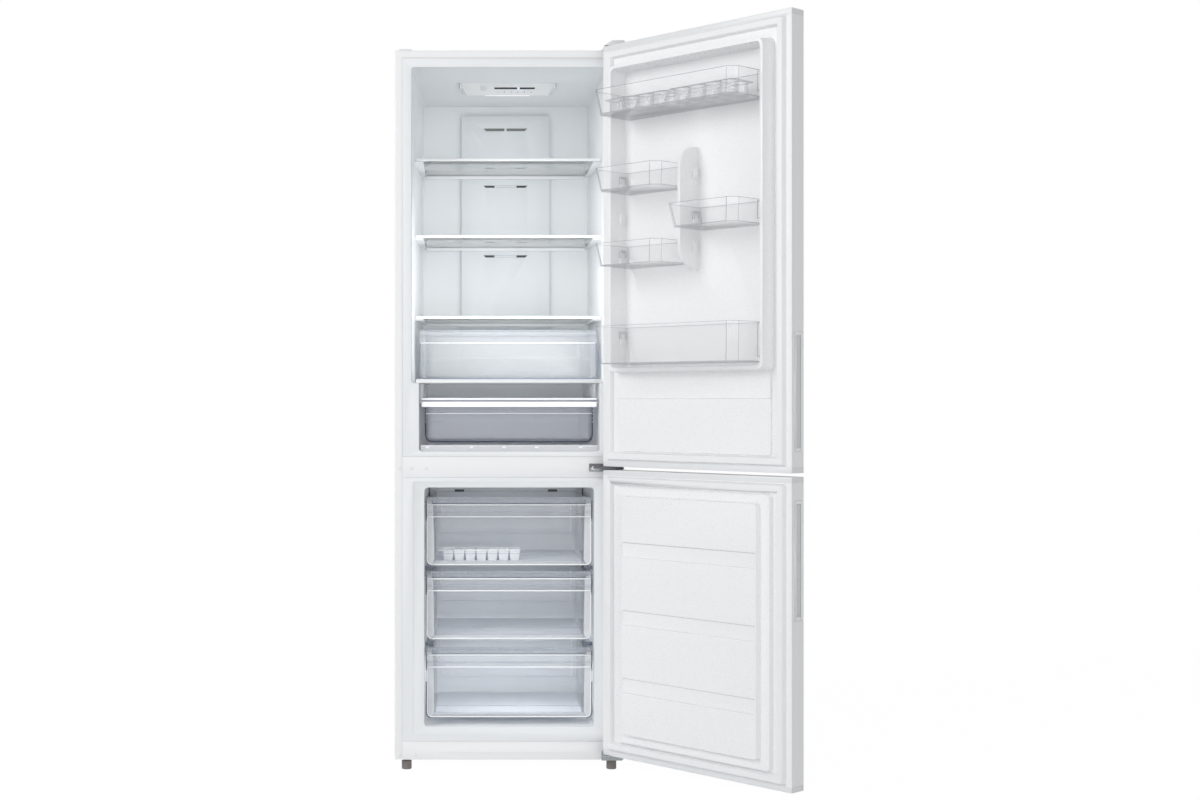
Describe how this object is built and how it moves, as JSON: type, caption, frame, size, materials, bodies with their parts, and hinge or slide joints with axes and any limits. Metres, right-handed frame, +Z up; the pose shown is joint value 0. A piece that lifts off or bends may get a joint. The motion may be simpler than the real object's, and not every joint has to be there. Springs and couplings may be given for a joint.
{
  "type": "bottom freezer refrigerator",
  "caption": "Tall free-standing refrigerator over a bottom freezer, both doors open, with glass shelves, drawers and clear door bins.",
  "frame": {"origin": "on the floor, on the cabinet centre line, in the plane of the cabinet front", "axes": "+X to the right seen from the front, +Y to the back, +Z up"},
  "size_m": [0.9746, 1.0752, 1.885],
  "materials": {
    "white_paint": "semi-gloss white coil coating",
    "rail_paint": "semi-gloss white",
    "galvanised": "zinc coated sheet",
    "black_paint": "black paint",
    "hinge_steel": "dark grey coated steel",
    "copper_tube": "drawn tube",
    "fin_aluminium": "bare aluminium",
    "liner_plastic": "glossy vacuum-formed sheet",
    "white_plastic": "glossy injection moulding",
    "panel_plastic": "fine satin moulding",
    "door_liner": "glossy vacuum-formed sheet",
    "gasket": "soft white seal",
    "cap_plastic": "satin light grey",
    "clear_plastic": "clear moulding",
    "frosted_plastic": "frosted moulding",
    "shelf_glass": "tempered glass",
    "shelf_trim": "glossy moulding",
    "lens": "diffusing lens",
    "foam": "rigid foam",
    "dark_plastic": "black moulding",
    "foot_plastic": "dark grey-brown moulding",
    "button": "glossy button",
    "fan_plastic": "black moulding",
    "ice_plastic": "milky moulding"
  },
  "bodies": {
    "cabinet": {"cabinet_shell": "white_paint", "back_panel": "galvanised", "insulation_foam": "foam", "fridge_liner": "liner_plastic", "freezer_liner": "liner_plastic", "cross_rail": "rail_paint", "bottom_rail": "rail_paint", "base_pan": "galvanised", "compressor_cover": "galvanised", "compressor": "black_paint", "evaporation_tray": "dark_plastic", "condenser_tubes": "copper_tube", "evaporator": "fin_aluminium", "evaporator_fan_motor": "galvanised", "freezer_back_panel": "panel_plastic", "fridge_duct_panel": "panel_plastic", "control_panel": "white_plastic", "lamp_lens": "lens", "top_hinge": "hinge_steel", "middle_hinge": "hinge_steel", "bottom_hinge": "hinge_steel", "top_hinge_cover": "cap_plastic", "blanking_plugs": "cap_plastic", "mains_inlet": "dark_plastic"},
    "evaporator_fan": {"evaporator_fan": "fan_plastic"},
    "control_button": {"control_button": "button"},
    "foot_left": {"foot_left": "foot_plastic"},
    "foot_right": {"foot_right": "foot_plastic"},
    "rear_rollers": {"rear_rollers": "dark_plastic"},
    "shelf_upper": {"shelf_upper_glass": "shelf_glass", "shelf_upper_trims": "shelf_trim"},
    "shelf_middle": {"shelf_middle_glass": "shelf_glass", "shelf_middle_trims": "shelf_trim"},
    "crisper_cover": {"crisper_cover_glass": "shelf_glass", "crisper_cover_trims": "shelf_trim"},
    "chiller_shelf": {"chiller_shelf": "shelf_trim"},
    "crisper_drawer": {"crisper_drawer": "frosted_plastic"},
    "chiller_drawer": {"chiller_drawer": "frosted_plastic"},
    "freezer_drawer_top": {"freezer_drawer_top": "clear_plastic", "ice_tray": "ice_plastic"},
    "freezer_drawer_middle": {"freezer_drawer_middle": "clear_plastic"},
    "freezer_drawer_bottom": {"freezer_drawer_bottom": "clear_plastic"},
    "fridge_door": {"fridge_door_skin": "white_paint", "fridge_door_liner": "door_liner", "fridge_door_foam": "foam", "fridge_door_end_caps": "cap_plastic", "fridge_door_gasket": "gasket", "fridge_door_grip": "white_plastic"},
    "freezer_door": {"freezer_door_skin": "white_paint", "freezer_door_liner": "door_liner", "freezer_door_foam": "foam", "freezer_door_end_caps": "cap_plastic", "freezer_door_gasket": "gasket", "freezer_door_grip": "white_plastic"},
    "bin_top": {"bin_top": "clear_plastic", "egg_trays": "clear_plastic"},
    "bin_left_upper": {"bin_left_upper": "clear_plastic"},
    "bin_right": {"bin_right": "clear_plastic"},
    "bin_left_lower": {"bin_left_lower": "clear_plastic"},
    "bin_bottom": {"bin_bottom": "clear_plastic"}
  },
  "joints": [
    {"name": "fridge_door_hinge", "type": "hinge", "parent": "cabinet", "child": "fridge_door", "pos_m": [0.2749, -0.0368, 1.33], "axis": [0, 0, 1], "range_deg": [-132.5, 2.5]},
    {"name": "freezer_door_hinge", "type": "hinge", "parent": "cabinet", "child": "freezer_door", "pos_m": [0.2749, -0.0368, 0.41], "axis": [0, 0, 1], "range_deg": [-132.5, 2.5]},
    {"name": "bin_top_lift", "type": "slide", "parent": "fridge_door", "child": "bin_top", "axis": [0, 0, 1], "range_m": [0, 0.022]},
    {"name": "bin_left_upper_lift", "type": "slide", "parent": "fridge_door", "child": "bin_left_upper", "axis": [0, 0, 1], "range_m": [0, 0.022]},
    {"name": "bin_right_lift", "type": "slide", "parent": "fridge_door", "child": "bin_right", "axis": [0, 0, 1], "range_m": [0, 0.022]},
    {"name": "bin_left_lower_lift", "type": "slide", "parent": "fridge_door", "child": "bin_left_lower", "axis": [0, 0, 1], "range_m": [0, 0.022]},
    {"name": "bin_bottom_lift", "type": "slide", "parent": "fridge_door", "child": "bin_bottom", "axis": [0, 0, 1], "range_m": [0, 0.022]},
    {"name": "shelf_upper_slide", "type": "slide", "parent": "cabinet", "child": "shelf_upper", "axis": [0, -1, 0], "range_m": [0, 0.15]},
    {"name": "shelf_middle_slide", "type": "slide", "parent": "cabinet", "child": "shelf_middle", "axis": [0, -1, 0], "range_m": [0, 0.15]},
    {"name": "crisper_cover_slide", "type": "slide", "parent": "cabinet", "child": "crisper_cover", "axis": [0, -1, 0], "range_m": [0, 0.15]},
    {"name": "chiller_shelf_slide", "type": "slide", "parent": "cabinet", "child": "chiller_shelf", "axis": [0, -1, 0], "range_m": [0, 0.03]},
    {"name": "crisper_drawer_slide", "type": "slide", "parent": "cabinet", "child": "crisper_drawer", "axis": [0, -1, 0], "range_m": [0, 0.235]},
    {"name": "chiller_drawer_slide", "type": "slide", "parent": "cabinet", "child": "chiller_drawer", "axis": [0, -1, 0], "range_m": [0, 0.28]},
    {"name": "freezer_drawer_top_slide", "type": "slide", "parent": "cabinet", "child": "freezer_drawer_top", "axis": [0, -1, 0], "range_m": [0, 0.28]},
    {"name": "freezer_drawer_middle_slide", "type": "slide", "parent": "cabinet", "child": "freezer_drawer_middle", "axis": [0, -1, 0], "range_m": [0, 0.28]},
    {"name": "freezer_drawer_bottom_slide", "type": "slide", "parent": "cabinet", "child": "freezer_drawer_bottom", "axis": [0, -1, 0], "range_m": [0, 0.28]},
    {"name": "foot_left_turn", "type": "hinge", "parent": "cabinet", "child": "foot_left", "pos_m": [-0.267, 0.025, 0.011], "axis": [0, 0, 1], "continuous": true},
    {"name": "foot_right_turn", "type": "hinge", "parent": "cabinet", "child": "foot_right", "pos_m": [0.267, 0.025, 0.011], "axis": [0, 0, 1], "continuous": true},
    {"name": "rear_rollers_turn", "type": "hinge", "parent": "cabinet", "child": "rear_rollers", "pos_m": [0, 0.53, 0.013], "axis": [1, 0, 0], "continuous": true},
    {"name": "evaporator_fan_turn", "type": "hinge", "parent": "cabinet", "child": "evaporator_fan", "pos_m": [0, 0.418, 0.6245], "axis": [0, 1, 0], "continuous": true},
    {"name": "control_button_press", "type": "slide", "parent": "cabinet", "child": "control_button", "axis": [0, 0.7071, 0.7071], "range_m": [0, 0.001], "stiffness_N_per_m": 900, "springref_m": -0.001}
  ]
}
